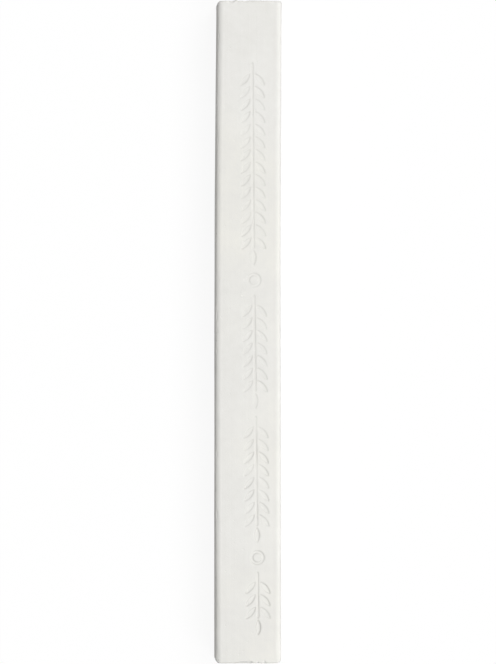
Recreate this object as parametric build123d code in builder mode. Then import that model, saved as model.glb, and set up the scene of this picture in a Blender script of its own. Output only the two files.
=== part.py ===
"""A square stick of white drawing chalk with a line of ornament stamped along one face.

Units are millimetres. The stick lies on its plain face, so +Z points out of the stamped face,
its length runs along Y and the origin is under its middle. The stamp reads from the head, the
+Y end, to the foot, the -Y end.

Soft chalk is pushed through a square die, cut to length with a wire, stamped and then dried.
The die gives the rounded long edges and the wire the flat ends.
"""

import os
from math import cos, radians, sin, tan

from build123d import *

# ---- the stick
stick_length = 70.0
stick_height = 7.0
head_width = 6.95  # side to side at the +Y end
foot_width = 7.10  # side to side at the -Y end, where the paste spread a little
long_edge_radius = 0.75  # rounding that the die leaves on the four long edges
rim_radius = 0.28  # rounding worn on the rims of the two cut ends

# ---- the stamp: leaf sprays in a row, with a ring between one group and the next
stamp_depth = 0.10
stamp_draft = 32.0  # lean of the walls of every mark, in degrees from upright
stamp_height = 2.65  # across the row, from leaf tips to leaf tips
stamp_side_margin = 1.42  # from the row to the +X side, at mid length
stamp_tilt = 0.7  # the row runs out of line with the stick, in degrees
head_margin = 6.5  # bare face between the head and the first spray
foot_margin = 2.9  # bare face between the last spray and the foot
mark_gap = 0.75  # between one mark of the row and the next
row_of_marks = (0.40, "ring", 0.225, 0.25, "ring", 0.125)  # sprays by their share of the leaves

leaf_width = 0.56
leaf_lean = 40.0  # angle between a leaf and the stem, in degrees
leaf_pitch = 1.33  # from one pair of leaves to the next
stem_width = 0.24
stem_clearance = 0.10  # land between the stem and the foot of each leaf
ring_diameter = 1.55
ring_stroke = 0.34

# ---- worked out from the values above
mean_width = (head_width + foot_width) / 2
leaf_foot = stem_width / 2 + stem_clearance
leaf_length = (stamp_height / 2 - leaf_foot) / sin(radians(leaf_lean))
row_length = stick_length - head_margin - foot_margin
rings = row_of_marks.count("ring")
leafy_length = row_length - rings * ring_diameter - (len(row_of_marks) - 1) * mark_gap
mark_overrun = stamp_depth / 2  # how far the tools stand above the face, for a clean cut

row_x = mean_width / 2 - stamp_side_margin - stamp_height / 2
row_y = stick_length / 2 - head_margin - row_length / 2
tilt = radians(stamp_tilt)
row_plane = Plane(
    origin=(row_x, row_y, stick_height), x_dir=(sin(tilt), -cos(tilt), 0), z_dir=(0, 0, 1)
)


# ---- the marks, as cutting tools that stand on the face at Z = 0
def mark_tool(outline: Sketch) -> Part:
    """A mark with leaning walls, from its outline on the face down to its floor."""
    with BuildPart() as tool:
        add(outline)
        extrude(amount=-stamp_depth, taper=stamp_draft)
        extrude(outline, amount=mark_overrun)
    return tool.part


def stem_tool(length: float) -> Part:
    """The stem of a spray, from the origin along +X."""
    with BuildSketch() as outline:
        with Locations((length / 2, 0)):
            SlotOverall(length, stem_width)
    return mark_tool(outline.sketch)


with BuildPart() as leaf_tool:  # the foot of the leaf at the origin, its tip along +X
    flank_radius = (leaf_length**2 + leaf_width**2) / (4 * leaf_width)
    flank_offset = flank_radius - leaf_width / 2
    with Locations((leaf_length / 2, flank_offset, -stamp_depth)):
        leaf_flank = Cone(
            bottom_radius=flank_radius - stamp_depth * tan(radians(stamp_draft)),
            top_radius=flank_radius + mark_overrun * tan(radians(stamp_draft)),
            height=stamp_depth + mark_overrun,
            align=(Align.CENTER, Align.CENTER, Align.MIN),
        )
    add(leaf_flank.mirror(Plane.XZ), mode=Mode.INTERSECT)

with BuildSketch() as ring_outline:
    Circle(ring_diameter / 2)
    Circle(ring_diameter / 2 - ring_stroke, mode=Mode.SUBTRACT)
ring_tool = mark_tool(ring_outline.sketch)


def spray_places(start: float, length: float) -> list[Location]:
    """Where the leaves of one spray go, along a row that starts at X = 0."""
    end_leaf = start + length - leaf_length
    pairs = int((length - leaf_length) / leaf_pitch)
    places = [Location((end_leaf, 0, 0))]
    for pair in range(pairs):
        along = end_leaf - (pair + 1) * leaf_pitch
        for side in (1, -1):
            places.append(Location((along, side * leaf_foot, 0), (0, 0, side * leaf_lean)))
    return places


# ---- the row, laid out from the head to the foot
leaf_places = []
ring_places = []
stems = []
cursor = -row_length / 2
for mark in row_of_marks:
    if mark == "ring":
        ring_places.append(Location((cursor + ring_diameter / 2, 0, 0)))
        cursor += ring_diameter + mark_gap
    else:
        spray_length = mark * leafy_length
        leaf_places += spray_places(cursor, spray_length)
        stem_length = spray_length - leaf_length - stem_clearance
        stems.append(Location((cursor, 0, 0)) * stem_tool(stem_length))
        cursor += spray_length + mark_gap

# ---- the stick
with BuildPart() as chalk_stick:
    with BuildSketch():
        with BuildLine():
            half_length = stick_length / 2
            foot_line = Line((-foot_width / 2, -half_length), (foot_width / 2, -half_length))
            head_line = Line((head_width / 2, half_length), (-head_width / 2, half_length))
            Line(foot_line @ 1, head_line @ 0)
            Line(head_line @ 1, foot_line @ 0)
        make_face()
    extrude(amount=stick_height)
    fillet(chalk_stick.edges().group_by(SortBy.LENGTH)[-1], long_edge_radius)
    cut_ends = chalk_stick.faces().sort_by(Axis.Y)
    fillet(cut_ends[0].edges() + cut_ends[-1].edges(), rim_radius)

    with Locations(row_plane):
        add(stems, mode=Mode.SUBTRACT)
        with Locations(*leaf_places):
            add(leaf_tool.part, mode=Mode.SUBTRACT)
        with Locations(*ring_places):
            add(ring_tool, mode=Mode.SUBTRACT)

chalk_stick.part.label = "chalk_stick"
os.makedirs("parts", exist_ok=True)
export_step(chalk_stick.part, "parts/chalk_stick.step")
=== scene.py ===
"""The looks of a square stick of white drawing chalk with a stamped row along one face.

A fine skin is laid on the CAD solid from all sides, so that it has the solid's rounded edges and
stamped marks. Then it gets what the making and the handling leave on soft chalk: a slight bend
from drying, a side that leans, marks of uneven depth, faint lines from the die, pores, nicks
along the edges and crumbled cut ends.
"""

import random
from collections import namedtuple
from math import copysign, cos, hypot, pi, radians, sin

import bmesh
import bpy
from mathutils import Matrix, Vector, noise
from mathutils.bvhtree import BVHTree
from mathutils.kdtree import KDTree


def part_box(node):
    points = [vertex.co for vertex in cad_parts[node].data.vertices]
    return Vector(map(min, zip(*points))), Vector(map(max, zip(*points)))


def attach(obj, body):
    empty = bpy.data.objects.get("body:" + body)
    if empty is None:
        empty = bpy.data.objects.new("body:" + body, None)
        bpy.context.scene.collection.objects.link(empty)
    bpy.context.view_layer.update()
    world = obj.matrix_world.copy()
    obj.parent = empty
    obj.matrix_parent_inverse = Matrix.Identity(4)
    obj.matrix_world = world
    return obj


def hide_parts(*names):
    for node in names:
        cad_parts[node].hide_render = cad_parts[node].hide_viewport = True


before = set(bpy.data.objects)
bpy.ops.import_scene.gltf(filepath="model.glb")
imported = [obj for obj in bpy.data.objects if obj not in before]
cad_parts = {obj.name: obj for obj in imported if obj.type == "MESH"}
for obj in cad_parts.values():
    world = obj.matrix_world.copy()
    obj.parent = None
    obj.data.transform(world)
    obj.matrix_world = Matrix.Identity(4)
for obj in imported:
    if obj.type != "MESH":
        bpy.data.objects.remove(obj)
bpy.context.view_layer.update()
low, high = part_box("chalk_stick")

MM = 0.001
length = high.y - low.y

# ---- the cells of the skin
cell = 0.26 * MM  # on the flat sides
edge_cell = 0.13 * MM  # across the rounded edges and the rims
edge_zone = 0.80 * MM  # a little more than the rounding of the long edges
reach = 1.0 * MM  # the skin is laid on the solid from this far outside it

# ---- which side a point belongs to, by the part of its way outward along Z or along Y
straight_up = 0.999  # the stamped face has more than this
drawn_turn = (0.9, 0.4)  # from the stamped side to all the others
end_turn = (0.5, 0.9)  # from the long sides to the cut ends
cut_end = 0.7  # the faces that get the finish of the cut ends have more than this

# ---- notes for the finish at each point of the skin, from 0 to 1: the painted shade on the walls
# of the marks, which stands in for their shadow, the fresh chalk in damage, and how far the
# point is turned away from the stamped side
finish_notes = ("stamp", "damage", "drawn")

# ---- the stamped marks
mark_depth = 0.10 * MM
wall_relief = 0.01 * MM  # a change of level within a cell that shows the wall of a mark
soften_rounds = 1  # how often the marks are smoothed, because chalk rounds them
pressing = (0.42, 1.02)  # depth left at the head and at the foot, as a share of the solid's
least_pressing = 0.3  # the share of that where the stamp hardly touched
unevenness, uneven_size = 0.9, 1.6 * MM  # how unevenly the stamp was pressed

# ---- the form of the dried stick
drying_bend = 0.16 * MM  # how far the head is out of line with the rest
bent_share = 0.45  # how much of the length, from the head, the bend takes up
bend_offset = 0.0465 * MM  # the straight part lies this far to the other side
crown = 0.035 * MM  # how much lower the sides of each face are than its middle
lean = (0.192 * MM, 0.140 * MM, 0.216 * MM)  # of the -X side, inward: head, middle and foot
lean_changes = ((0.30, 0.50), (0.75, 0.95))  # where it changes, in lengths from the head
lean_side = (0.6, 0.9)  # it sets in between these shares of the way from the middle to the side
lean_out = 0.068 * MM  # how far its lower edge stands out for that
rim_burr = 0.06 * MM  # how much the cut leaves standing along the rims
head_width = 6.95 * MM  # the solid's
long_edge, rim = 0.75 * MM, 0.28 * MM  # radii of the solid's long edges and rims
edge_fullness = (2.4, 3.0)  # of the upper long edges at -X and +X: 2 is the solid's rounding
rim_fullness = 3.2  # of the upper rims at the two ends

# ---- the relief of the surface: depth of the lumps, and their size
swell_depth, swell_size = 0.022 * MM, 9.0 * MM
die_line_depth = (0.005 * MM, 0.016 * MM)  # on the stamped side, and on the others
die_line_size = (0.45 * MM, 30.0 * MM, 0.45 * MM)
grain_depth, grain_size = 0.003 * MM, 0.50 * MM
cut_depth, cut_size = 0.018 * MM, (0.90 * MM, 0.90 * MM, 0.35 * MM)
wear_depth, wear_size = 0.050 * MM, (1.0 * MM, 1.6 * MM, 1.0 * MM)

# ---- pores, and nicks along the long edges: how many, radius and depth from least to most
pore_count, pore_radius, pore_depth = 130, (0.06 * MM, 0.20 * MM), (0.02 * MM, 0.08 * MM)
nick_count, nick_radius, nick_depth = 44, (0.15 * MM, 0.38 * MM), (0.015 * MM, 0.05 * MM)
nick_stretch = (0.8, 2.0)  # how long a nick is along its edge, by its radius
raggedness, ragged_size = 0.3, 0.3 * MM  # how uneven the outline of a pore, nick or break is
hollow_steepness = 1.3  # how soon a hollow has its full depth, from its outline inward
full_damage = 0.06 * MM  # a depth at which fresh chalk shows
scatter_seed = 11  # of the places and sizes of the pores and nicks

Hollow = namedtuple("Hollow", "place sizes depth")

# ---- specks in the stamped side: place along X and Y, and radius
specks = ((-2.45, 23.9, 0.10), (-2.85, 1.6, 0.10), (1.90, -12.0, 0.07))
speck_depth = 0.035 * MM

# ---- breaks at the two ends: place along X, height above the bottom, half sizes along X, Y and
# Z, and depth, below 0 for a crumb that stands out
head_breaks = (
    (-1.90, 7.0, (0.50, 0.34, 0.34), 0.12),  # a chip in the rim, with a crumb beside it
    (-1.42, 6.5, (0.20, 0.30, 0.45), -0.16),
    (-0.45, 6.9, (0.45, 0.30, 0.50), 0.06),
    (2.60, 3.5, (1.50, 0.60, 5.00), 0.06),
    (3.50, 3.5, (0.55, 0.55, 5.00), 0.06),  # this and the next are the worn corners
    (-3.50, 3.5, (0.65, 0.65, 5.00), 0.10),
)
foot_breaks = (
    (-3.55, 3.5, (0.68, 0.68, 5.00), 0.17),
    (-0.45, 7.0, (1.00, 0.22, 0.60), 0.18),  # a torn stretch of the rim
    (0.30, 7.0, (0.36, 0.26, 0.60), 0.20),
    (0.30, 6.4, (0.20, 0.25, 0.30), -0.06),
    (1.08, 6.9, (0.14, 0.30, 0.50), 0.12),
    (1.77, 7.0, (0.22, 0.28, 0.40), 0.15),
    (3.40, 3.5, (1.00, 0.60, 5.00), 0.14),
)

# ---- the textures of the finish, by how many lumps a metre holds
warmth_scale, cloud_scale, mist_scale = 90.0, 170.0, 1300.0
line_scale = (2600.0, 30.0, 2600.0)
skin_grain_scale, cut_grain_scale = 11000.0, 5200.0
pinhole_scale = 2100.0

# ---- how the textures add up
tone_shares = (0.50, 0.25, 0.15, 0.10)  # of clouds, mist, grain and lines
tone_range, warmth_range = (0.36, 0.64), (0.40, 0.66)  # these are spread over 0 to 1
mist_height = 0.5  # how much the mist adds to the height of the grain
pinhole_share = 0.20  # how many of the cells hold a pinhole
pinhole_radius, pinhole_edge = 0.24, 0.08  # as shares of a cell
grain_relief = 0.030 * MM
stamped_relief = 0.35  # the share of the relief that the pressed face keeps
height_range, roughness_range = (0.3, 1.2), (0.96, 0.86)  # low chalk is the rougher
dulling = 0.5  # how much the clouds shade the sides other than the stamped one
freshness = 0.5  # how much fresh chalk shows in damage

# ---- colours, as they look in plain light
chalk_white = (0.843, 0.837, 0.811)
warm_white = (0.842, 0.833, 0.787)
dull_white = (0.790, 0.783, 0.752)
fresh_white = (0.850, 0.845, 0.820)
# the painted shade on the walls of the marks and in the pinholes, and the clouds on the sides
# other than the stamped one, go towards this
painted_shade_and_mottle_white = (0.670, 0.661, 0.628)
paper_white = (0.97, 0.97, 0.97)


def between(limits, share):
    """The value at that share of the way from the first limit to the second."""
    return limits[0] + (limits[1] - limits[0]) * share


def soft_share(value, limits=(0.0, 1.0)):
    """0 before the first limit, 1 past the second, and a soft S between them."""
    share = (value - limits[0]) / (limits[1] - limits[0])
    share = min(max(share, 0.0), 1.0)
    return share * share * (3 - 2 * share)


def lumps(point, size, seed):
    """Soft noise from -1 to 1 with lumps of that size, which may differ from axis to axis."""
    sizes = size if isinstance(size, tuple) else (size,) * 3
    return noise.noise(Vector([p / s + 7.3 * seed for p, s in zip(point, sizes)]))


# ---- the skin, while it is still a squared block
def cut_into_cells(skin, axis):
    """Divides the block along one axis, closely in its edge zones and wider between them."""
    lines = []
    for edge in skin.edges:
        run = edge.verts[1].co - edge.verts[0].co
        if abs(run[axis]) > run.length / 2:
            lines.append(edge)
    narrow = [edge for edge in lines if edge.calc_length() < 2 * edge_zone]
    wide = [edge for edge in lines if edge.calc_length() >= 2 * edge_zone]
    for edges, size in ((narrow, edge_cell), (wide, cell)):
        cuts = round(edges[0].calc_length() / size) - 1
        bmesh.ops.subdivide_edges(skin, edges=edges, cuts=cuts, use_grid_fill=True)


def squared_block():
    """A block of the solid's outer size, divided into small cells on all sides."""
    skin = bmesh.new()
    for note in finish_notes:
        skin.verts.layers.float.new(note)
    place = Matrix.LocRotScale((low + high) / 2, None, high - low)
    bmesh.ops.create_cube(skin, size=1, matrix=place)
    for axis in range(3):
        normal = Vector((0, 0, 0))
        normal[axis] = 1
        for level in (low[axis] + edge_zone, high[axis] - edge_zone):
            everything = skin.verts[:] + skin.edges[:] + skin.faces[:]
            bmesh.ops.bisect_plane(
                skin, geom=everything, plane_co=normal * level, plane_no=normal
            )
    for axis in range(3):
        cut_into_cells(skin, axis)
    return skin


def refine(skin, faces):
    """Divides each of these faces into four, and fits their neighbours to them."""
    edges = list({edge for face in faces for edge in face.edges})
    bmesh.ops.subdivide_edges(skin, edges=edges, cuts=1, use_grid_fill=True)


def faces_on_walls(skin, solid):
    """The faces of the stamped side under which the solid's level changes."""
    found = []
    for face in skin.faces:
        if face.normal.z < straight_up:
            continue
        centre = face.calc_center_median()
        half = (face.verts[0].co - centre).length
        levels = []
        for across in (-1, 0, 1):
            for along in (-1, 0, 1):
                start = centre + Vector((across * half, along * half, reach))
                hit = solid.ray_cast(start, Vector((0, 0, -1)))[0]
                levels.append(hit.z if hit else high.z)
        if max(levels) - min(levels) > wall_relief and min(levels) > high.z - 2 * mark_depth:
            found.append(face)
    return found


# ---- pores, nicks and breaks
def scattered_hollows(skin, chance):
    """Pores in all but the stamped side, and nicks along the long edges."""
    hollows = []
    porous = [vert for vert in skin.verts if vert.co.z < high.z - edge_zone]
    for vert in chance.sample(porous, pore_count):
        share = chance.random() ** 2
        sizes = Vector((between(pore_radius, share),) * 3)
        hollows.append(Hollow(vert.co.copy(), sizes, between(pore_depth, share)))
    for _ in range(nick_count):
        edge = (chance.choice((low.x, high.x)), chance.choice((low.z, high.z)))
        share = chance.random() ** 2
        radius = between(nick_radius, share)
        sizes = Vector((radius, radius * chance.uniform(*nick_stretch), radius))
        place = Vector((edge[0], chance.uniform(low.y, high.y), edge[1]))
        hollows.append(Hollow(place, sizes, between(nick_depth, share)))
    return hollows


def placed_hollows():
    """The specks in the stamped side and the breaks at the two ends."""
    hollows = []
    for across, along, radius in specks:
        place = Vector((across * MM, along * MM, high.z))
        hollows.append(Hollow(place, Vector((radius,) * 3) * MM, speck_depth))
    for end, breaks in ((high.y, head_breaks), (low.y, foot_breaks)):
        for across, height, sizes, depth in breaks:
            place = Vector((across * MM, end, height * MM))
            hollows.append(Hollow(place, Vector(sizes) * MM, depth * MM))
    return hollows


class Hollows:
    """All the hollows, with a quick way to those near a point."""

    def __init__(self, hollows):
        self.hollows = hollows
        self.widest = max(max(hollow.sizes) for hollow in hollows)
        self.places = KDTree(len(hollows))
        for index, hollow in enumerate(hollows):
            self.places.insert(hollow.place, index)
        self.places.balance()

    def near(self, point, margin=0.0):
        """The hollows that reach the point, with its distance as a share of their size."""
        for _, index, _ in self.places.find_range(point, self.widest + margin):
            hollow = self.hollows[index]
            across = [d / (s + margin) for d, s in zip(point - hollow.place, hollow.sizes)]
            share = Vector(across).length
            if share < 1:
                yield hollow, share, index

    def depth_at(self, point):
        """How deep the surface is sunk there. A crumb that stands out counts below 0."""
        deepest, highest = 0.0, 0.0
        for hollow, share, index in self.near(point):
            ragged = share * (1 + raggedness * lumps(point, ragged_size, index))
            depth = hollow.depth * soft_share(hollow_steepness * (1 - ragged))
            deepest = max(deepest, depth)
            highest = min(highest, depth)
        return deepest + highest


# ---- the skin on the solid
def solid_tree():
    """The CAD solid, to measure on."""
    solid = bmesh.new()
    solid.from_mesh(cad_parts["chalk_stick"].data)
    bmesh.ops.remove_doubles(solid, verts=solid.verts, dist=0.0001 * MM)
    tree = BVHTree.FromBMesh(solid)
    solid.free()
    return tree


def lay_on_solid(skin, solid):
    """Moves each point of the block to the solid under it, and returns the ways outward."""
    zone = Vector((edge_zone,) * 3)
    core_low, core_high = low + zone, high - zone
    outward = {}
    for vert in skin.verts:
        limits = zip(vert.co, core_low, core_high)
        core = Vector([min(max(p, least), most) for p, least, most in limits])
        outward[vert] = (vert.co - core).normalized()
        start = vert.co + outward[vert] * reach
        hit = solid.ray_cast(start, -outward[vert])[0]
        vert.co = hit or solid.find_nearest(vert.co)[0]
    return outward


def crown_at(point):
    """The share of the crown's drop at that point: 0 in the middle of a face, 1 at its sides."""
    middle = Vector((0, 0, (low.z + high.z) / 2))
    half = (high - low) / 2 - Vector((edge_zone,) * 3)
    from_middle = [min(abs(d) / h, 1) for d, h in zip(point - middle, half)]
    return min(from_middle[0], from_middle[2]) ** 2


def pressed_at(point):
    """The depth of the marks there, as a share of the solid's."""
    pressed = between(pressing, ((high.y - point.y) / length) ** 3)
    return pressed * max(1 + unevenness * lumps(point, uneven_size, 6), least_pressing)


def lean_at(point):
    """How far the leaning -X side is moved in at that point. The other side stands upright."""
    from_head = (high.y - point.y) / length
    to_middle, to_foot = [soft_share(from_head, change) for change in lean_changes]
    most = between((between(lean[:2], to_middle), lean[2]), to_foot)
    towards_side = soft_share(point.x / low.x, lean_side)
    return (most * point.z / high.z - lean_out) * towards_side


def fuller(across, up, power):
    """How much further out a rounding of that power lies than a round one, in that direction."""
    if min(across, up) <= 0:
        return 1
    return hypot(across, up) / (across**power + up**power) ** (1 / power)


def fill_out(point):
    """Moves a point of an upper edge outward, from the solid's rounding to a fuller one."""
    half_width = between((head_width / 2, high.x), (high.y - point.y) / length)
    across = abs(point.x) - (half_width - long_edge)
    up = point.z - (high.z - long_edge)
    further = fuller(across, up, edge_fullness[point.x > 0]) - 1
    point.x += copysign(across * further, point.x)
    point.z += up * further
    along = abs(point.y) - (high.y - rim)
    up = point.z - (high.z - rim)
    further = fuller(along, up, rim_fullness) - 1
    point.y += copysign(along * further, point.y)
    point.z += up * further


def relief_at(point, side, drawn):
    """How far the surface stands out at that point, before its wear and its hollows."""
    end = soft_share(abs(side.y), end_turn)
    rise = swell_depth * lumps(point, swell_size, 1)
    rise += between(die_line_depth, drawn) * lumps(point, die_line_size, 2) * (1 - end)
    rise += grain_depth * lumps(point, grain_size, 3)
    rise += cut_depth * lumps(point, cut_size, 4) * end
    rise -= crown * crown_at(point) * (1 - end)
    on_rim = 2 * abs(side.y) * hypot(side.x, side.z)
    return rise + rim_burr * on_rim**4


def wear_at(point, side):
    """How much is worn off the edges, rims and corners at that point."""
    edge = 1 - max(abs(part) for part in side)
    return wear_depth * max(0.0, lumps(point, wear_size, 5)) * soft_share(4 * edge)


def weather(skin, outward, sunk):
    """Gives the surface its relief, along its own ways outward, and notes it for the finish."""
    stamp, damage, drawn = [skin.verts.layers.float[note] for note in finish_notes]
    for vert in skin.verts:
        point, side = vert.co.copy(), outward[vert]
        fill_out(point)
        vert[drawn] = soft_share(side.z, drawn_turn)
        wear = wear_at(point, side)
        vert[damage] = soft_share((sunk[vert] + wear) / full_damage)
        if side.z > straight_up:
            pressed = pressed_at(point)
            down = min((high.z - point.z) / (mark_depth * pressed), 1)
            # painted shade, standing in for the shadow on the walls of the marks
            vert[stamp] = 4 * down * (1 - down) * pressed  # most of all halfway down a wall
        vert.co = point + side * (relief_at(point, side, vert[drawn]) - wear - sunk[vert])
        vert.co.x += lean_at(point)
        vert.co.z = max(vert.co.z, low.z)


def bend(skin):
    """Turns the head end a little to +X, as the stick did when it dried."""
    for vert in skin.verts:
        from_head = (high.y - vert.co.y) / length
        turn = max(0.0, 1 - from_head / bent_share) ** 2
        vert.co.x += drying_bend * turn - bend_offset


def divide_for_detail(skin, solid, hollows):
    """Makes the cells small where the walls of the marks and the hollows need it."""
    refine(skin, faces_on_walls(skin, solid))
    finer = set(faces_on_walls(skin, solid))
    for face in skin.faces:
        if any(hollows.near(face.calc_center_median(), margin=cell / 2)):
            finer.add(face)
    refine(skin, finer)
    corners = [face for face in skin.faces if len(face.verts) > 4]
    bmesh.ops.triangulate(skin, faces=corners)


def press_marks(skin, outward):
    """Softens the marks and gives them their uneven depth."""
    stamped_face = [vert for vert in skin.verts if outward[vert].z > straight_up]
    for _ in range(soften_rounds):
        bmesh.ops.smooth_vert(skin, verts=stamped_face, factor=0.5, use_axis_z=True)
    for vert in stamped_face:
        vert.co.z = high.z - (high.z - vert.co.z) * pressed_at(vert.co)


def chalk_stick_skin():
    """The whole skin. Its second material is for the cut ends."""
    skin = squared_block()
    solid = solid_tree()
    hollows = Hollows(scattered_hollows(skin, random.Random(scatter_seed)) + placed_hollows())
    divide_for_detail(skin, solid, hollows)

    sunk = {vert: hollows.depth_at(vert.co) for vert in skin.verts}
    outward = lay_on_solid(skin, solid)
    press_marks(skin, outward)
    weather(skin, outward, sunk)
    bend(skin)

    bmesh.ops.recalc_face_normals(skin, faces=skin.faces)
    for face in skin.faces:
        face.smooth = True
        face.material_index = int(abs(face.normal.y) > cut_end)
    return made_object("chalk_stick_skin", skin)


def made_object(name, shape):
    """Puts a finished bmesh into the scene."""
    mesh = bpy.data.meshes.new(name)
    shape.to_mesh(mesh)
    shape.free()
    made = bpy.data.objects.new(name, mesh)
    bpy.context.scene.collection.objects.link(made)
    return made


# ---- node trees
def add_node(tree, kind, inputs=None, **settings):
    """A new node with its settings. An input is a value, or a socket that feeds it."""
    node = tree.nodes.new(kind)
    for name, value in settings.items():
        setattr(node, name, value)
    for socket, value in (inputs or {}).items():
        if isinstance(value, bpy.types.NodeSocket):
            tree.links.new(value, node.inputs[socket])
        else:
            node.inputs[socket].default_value = value
    return node


def new_tree(owner):
    """The empty node tree of a new material or world."""
    owner.use_nodes = True
    owner.node_tree.nodes.clear()
    return owner.node_tree


def blend(tree, factor, first, second):
    """A colour between two others."""
    inputs = {0: factor, 6: first, 7: second}
    return add_node(tree, "ShaderNodeMix", inputs, data_type="RGBA").outputs[2]


def calculate(tree, operation, *values):
    """A value worked out from two or three others."""
    inputs = dict(enumerate(values))
    return add_node(tree, "ShaderNodeMath", inputs, operation=operation).outputs[0]


def remap(tree, value, limits, new_limits=(0.0, 1.0)):
    """A value brought from between the first limits to between the others."""
    inputs = {"Value": value, "From Min": limits[0], "From Max": limits[1]}
    inputs |= {"To Min": new_limits[0], "To Max": new_limits[1]}
    return add_node(tree, "ShaderNodeMapRange", inputs).outputs[0]


def pinhole_mask(group, point):
    """1 in the pinholes, of which a few of the cells hold one each."""
    cells = add_node(group, "ShaderNodeTexVoronoi", {"Vector": point, "Scale": pinhole_scale})
    chance = add_node(group, "ShaderNodeSeparateColor", {0: cells.outputs["Color"]}).outputs[0]
    radius = remap(group, chance, (1 - pinhole_share, 1.0), (0.0, pinhole_radius))
    inside = calculate(group, "SUBTRACT", radius, cells.outputs["Distance"])
    return remap(group, inside, (0.0, pinhole_edge))


def chalk_group():
    """The body of chalk: clouds, grain, lines of the die and pinholes."""
    group = bpy.data.node_groups.new("chalk_body", "ShaderNodeTree")
    for name in ("Grain", "Lines"):
        group.interface.new_socket(name, in_out="INPUT", socket_type="NodeSocketFloat")
    for name in ("Tone", "Warmth", "Height", "Pinholes"):
        group.interface.new_socket(name, in_out="OUTPUT", socket_type="NodeSocketFloat")
    given = group.nodes.new("NodeGroupInput")
    point = add_node(group, "ShaderNodeTexCoord").outputs["Object"]

    def texture(scale, detail, vector=point):
        inputs = {"Vector": vector, "Scale": scale, "Detail": detail, "Roughness": 0.6}
        return add_node(group, "ShaderNodeTexNoise", inputs).outputs["Fac"]

    stretched = add_node(group, "ShaderNodeMapping", {"Vector": point, "Scale": line_scale})
    clouds = texture(cloud_scale, 3.0)
    mist = texture(mist_scale, 3.0)
    grain = texture(given.outputs["Grain"], 5.0)
    lines = texture(1.0, 3.0, stretched.outputs[0])
    pinholes = pinhole_mask(group, point)

    tone = 0.0
    for layer, share in zip((clouds, mist, grain, lines), tone_shares):
        tone = calculate(group, "MULTIPLY_ADD", layer, share, tone)
    height = calculate(group, "MULTIPLY_ADD", mist, mist_height, grain)
    height = calculate(group, "MULTIPLY_ADD", lines, given.outputs["Lines"], height)
    results = {
        "Tone": remap(group, tone, tone_range),
        "Warmth": remap(group, texture(warmth_scale, 1.0), warmth_range),
        "Height": calculate(group, "SUBTRACT", height, pinholes),
        "Pinholes": pinholes,
    }
    add_node(group, "NodeGroupOutput", results)
    return group


def chalk_colour(tree, body, stamp, damage, drawn):
    """White with clouds, painted shade in what is pressed or pitted, and fresh chalk in damage.
    """
    white = blend(tree, body.outputs["Warmth"], (*chalk_white, 1), (*warm_white, 1))
    colour = blend(tree, body.outputs["Tone"], (*dull_white, 1), white)
    # painted shade in the pinholes of the sides other than the stamped one
    painted_pinhole_shade = calculate(tree, "MULTIPLY", body.outputs["Pinholes"], drawn)
    dullness = calculate(tree, "SUBTRACT", 1.0, body.outputs["Tone"])
    dullness = calculate(tree, "MULTIPLY", dullness, drawn)
    dullness = calculate(tree, "MULTIPLY", dullness, dulling)
    # painted shade on the walls of the marks (stamp) and in the pinholes, with the darker clouds
    # on the other sides
    shade = calculate(tree, "MAXIMUM", calculate(tree, "MAXIMUM", painted_pinhole_shade, dullness), stamp)
    colour = blend(tree, shade, colour, (*painted_shade_and_mottle_white, 1))
    fresh = calculate(tree, "MULTIPLY", damage, freshness)
    return blend(tree, fresh, colour, (*fresh_white, 1))


def chalk_material(name, group, grain, lines):
    """White chalk with that fineness of grain and strength of die lines."""
    material = bpy.data.materials.new(name)
    tree = new_tree(material)
    body = add_node(tree, "ShaderNodeGroup", node_tree=group)
    body.inputs["Grain"].default_value = grain
    body.inputs["Lines"].default_value = lines
    stamp, damage, drawn = [
        add_node(tree, "ShaderNodeAttribute", attribute_name=note).outputs["Fac"]
        for note in finish_notes
    ]
    relief = remap(tree, drawn, (0.0, 1.0), (stamped_relief, 1.0))
    height = calculate(tree, "MULTIPLY", body.outputs["Height"], relief)
    bump = add_node(tree, "ShaderNodeBump", {"Height": height, "Distance": grain_relief})
    inputs = {
        "Base Color": chalk_colour(tree, body, stamp, damage, drawn),
        "Roughness": remap(tree, body.outputs["Height"], height_range, roughness_range),
        "Normal": bump.outputs[0],
        "Specular IOR Level": 0.25,
        "Diffuse Roughness": 0.2,
    }
    shader = add_node(tree, "ShaderNodeBsdfPrincipled", inputs).outputs[0]
    add_node(tree, "ShaderNodeOutputMaterial", {"Surface": shader})
    return material


# ---- the stage
def background_rays(tree):
    """1 for the rays that show the background: straight, mirrored or through glass."""
    path = add_node(tree, "ShaderNodeLightPath").outputs
    seen = calculate(tree, "MAXIMUM", path["Is Camera Ray"], path["Is Glossy Ray"])
    return calculate(tree, "MAXIMUM", seen, path["Is Transmission Ray"])


def white_world(fill_strength):
    """Even light from all round, behind which a white background shows."""
    world = bpy.data.worlds.new("studio")
    tree = new_tree(world)
    fill = add_node(tree, "ShaderNodeBackground", {0: (1, 1, 1, 1), 1: fill_strength})
    white = add_node(tree, "ShaderNodeBackground", {0: (1, 1, 1, 1), 1: 1.0})
    parts = {0: background_rays(tree), 1: fill.outputs[0], 2: white.outputs[0]}
    mix = add_node(tree, "ShaderNodeMixShader", parts)
    add_node(tree, "ShaderNodeOutputWorld", {"Surface": mix.outputs[0]})
    bpy.context.scene.world = world


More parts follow.
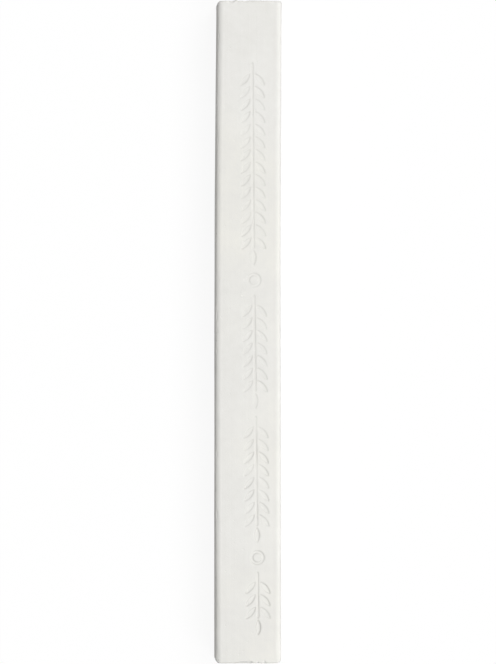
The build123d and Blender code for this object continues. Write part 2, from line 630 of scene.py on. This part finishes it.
def paper_floor(glow_share, bounce):
    """White paper, which shows as nearly all white and keeps a faint shadow."""
    sheet = bmesh.new()
    bmesh.ops.create_grid(sheet, x_segments=1, y_segments=1, size=3.0)
    floor = made_object("floor", sheet)
    material = bpy.data.materials.new("white_paper")
    tree = new_tree(material)
    seen = background_rays(tree)
    colour = blend(tree, seen, (bounce, bounce, bounce, 1), (*paper_white, 1))
    paper = add_node(tree, "ShaderNodeBsdfDiffuse", {"Color": colour})
    glow = add_node(tree, "ShaderNodeEmission", {"Color": (1, 1, 1, 1), "Strength": 1.0})
    share = calculate(tree, "MULTIPLY", seen, glow_share)
    parts = {0: share, 1: paper.outputs[0], 2: glow.outputs[0]}
    mix = add_node(tree, "ShaderNodeMixShader", parts)
    add_node(tree, "ShaderNodeOutputMaterial", {"Surface": mix.outputs[0]})
    floor.data.materials.append(material)


def far_lamp(name, tilt, turn, strength, softness):
    """A soft lamp far away. Tilt is from upright, and turn is from +X towards the head."""
    lamp = bpy.data.lights.new(name, "SUN")
    lamp.energy = strength * pi
    lamp.angle = softness
    light = bpy.data.objects.new(name, lamp)
    towards = Vector((sin(tilt) * cos(turn), sin(tilt) * sin(turn), cos(tilt)))
    light.rotation_mode = "QUATERNION"
    light.rotation_quaternion = towards.to_track_quat("Z", "Y")
    bpy.context.scene.collection.objects.link(light)


def camera_above(lens, end_margin):
    """Looks straight down on the stamped face, with the head of the stick at the top."""
    view = bpy.data.cameras.new("camera")
    view.lens = lens
    view.clip_end = 10.0
    camera = bpy.data.objects.new("camera", view)
    distance = (length + 2 * end_margin) * lens / view.sensor_width
    camera.location = (0, 0, high.z + distance)
    bpy.context.scene.collection.objects.link(camera)
    bpy.context.scene.camera = camera


stick = chalk_stick_skin()
body = chalk_group()
stick.data.materials.append(chalk_material("chalk_skin", body, skin_grain_scale, lines=0.9))
stick.data.materials.append(chalk_material("chalk_cut_end", body, cut_grain_scale, lines=0.0))
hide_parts("chalk_stick")
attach(stick, "root")

paper_floor(glow_share=0.92, bounce=0.68)
white_world(fill_strength=0.27)
far_lamp("head_key", tilt=radians(34), turn=radians(50), strength=0.447, softness=radians(30))
far_lamp("foot_key", tilt=radians(34), turn=radians(-50), strength=0.447, softness=radians(30))
far_lamp("side", tilt=radians(87), turn=radians(0), strength=0.09, softness=radians(20))
camera_above(lens=300.0, end_margin=0.10 * MM)
bpy.context.scene.view_settings.view_transform = "Standard"
